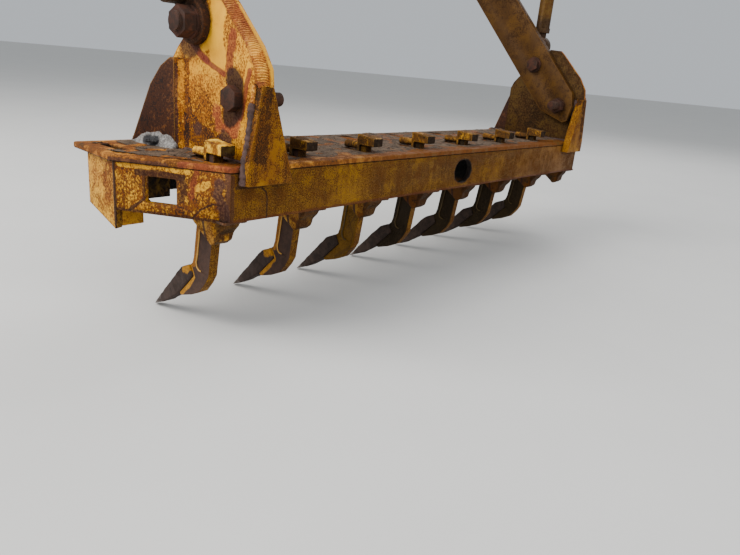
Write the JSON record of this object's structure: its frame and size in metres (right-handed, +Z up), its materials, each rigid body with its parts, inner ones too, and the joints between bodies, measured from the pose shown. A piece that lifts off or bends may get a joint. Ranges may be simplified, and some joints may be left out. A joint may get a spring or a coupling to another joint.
{
  "type": "motor grader scarifier",
  "caption": "Mid-mounted ripping beam with a row of hooked shanks in cast sockets, carried by sloping draft arms and lift rods.",
  "frame": {"origin": "middle of the cross shaft on which the draft arms turn", "axes": "+X to the machine's right along the shaft, +Y forward, +Z up"},
  "size_m": [1.71, 0.7432, 1.2779],
  "materials": {
    "yellow_paint": "chipped and rust-speckled yellow paint",
    "dull_paint": "faded yellow paint gone to orange-brown rust",
    "trodden_plate": "bare plate with dirt, rusty along its edges",
    "rusty_steel": "dark rust",
    "tip_steel": "dark steel, ground grey at the point",
    "worn_steel": "worn bare steel"
  },
  "bodies": {
    "shaft": {"pivot_shaft": "worn_steel", "shaft_cap_left": "rusty_steel", "shaft_cap_right": "rusty_steel"},
    "scarifier": {"top_plate": "trodden_plate", "rear_wall": "dull_paint", "front_wall": "dull_paint", "end_wall_left": "yellow_paint", "end_wall_right": "yellow_paint", "socket_1": "yellow_paint", "socket_2": "yellow_paint", "socket_3": "yellow_paint", "socket_4": "yellow_paint", "socket_5": "yellow_paint", "socket_6": "yellow_paint", "socket_7": "yellow_paint", "socket_8": "yellow_paint", "wing_socket_left": "yellow_paint", "wing_socket_right": "yellow_paint", "shank_1": "dull_paint", "shank_2": "dull_paint", "shank_3": "dull_paint", "shank_4": "dull_paint", "shank_5": "dull_paint", "shank_6": "dull_paint", "shank_7": "dull_paint", "tip_1": "tip_steel", "tip_2": "tip_steel", "tip_3": "tip_steel", "tip_4": "tip_steel", "tip_5": "tip_steel", "tip_6": "tip_steel", "tip_7": "tip_steel", "lock_1": "yellow_paint", "lock_2": "yellow_paint", "lock_3": "yellow_paint", "lock_4": "yellow_paint", "lock_5": "yellow_paint", "lock_6": "yellow_paint", "lock_7": "yellow_paint", "bracket_left": "yellow_paint", "bracket_right": "yellow_paint", "brace_left": "yellow_paint", "brace_right": "yellow_paint", "gusset_left": "dull_paint", "gusset_right": "dull_paint", "ear_left": "yellow_paint", "ear_right": "yellow_paint", "arm_left": "dull_paint", "arm_right": "dull_paint", "lower_bolt_left": "rusty_steel", "lower_bolt_right": "rusty_steel", "upper_bolt_left": "rusty_steel", "upper_bolt_right": "rusty_steel", "rod_pin_left": "rusty_steel", "rod_pin_right": "rusty_steel"},
    "rod_left": {"lift_rod_left": "yellow_paint"},
    "rod_right": {"lift_rod_right": "yellow_paint"}
  },
  "joints": [
    {"name": "lift", "type": "hinge", "parent": "shaft", "child": "scarifier", "pos_m": [0, 0, 0], "axis": [-1, 0, 0], "range_deg": [-12, 28]},
    {"name": "rod_left_turn", "type": "hinge", "parent": "scarifier", "child": "rod_left", "pos_m": [-0.722, -0.46222, -0.48683], "axis": [-1, 0, 0], "range_deg": [-28, 12]},
    {"name": "rod_right_turn", "type": "hinge", "parent": "scarifier", "child": "rod_right", "pos_m": [0.722, -0.46222, -0.48683], "axis": [-1, 0, 0], "range_deg": [-28, 12]}
  ],
  "couplings": [
    {"joint": "rod_left_turn", "follows": "lift", "ratio": -1},
    {"joint": "rod_right_turn", "follows": "lift", "ratio": -1}
  ]
}
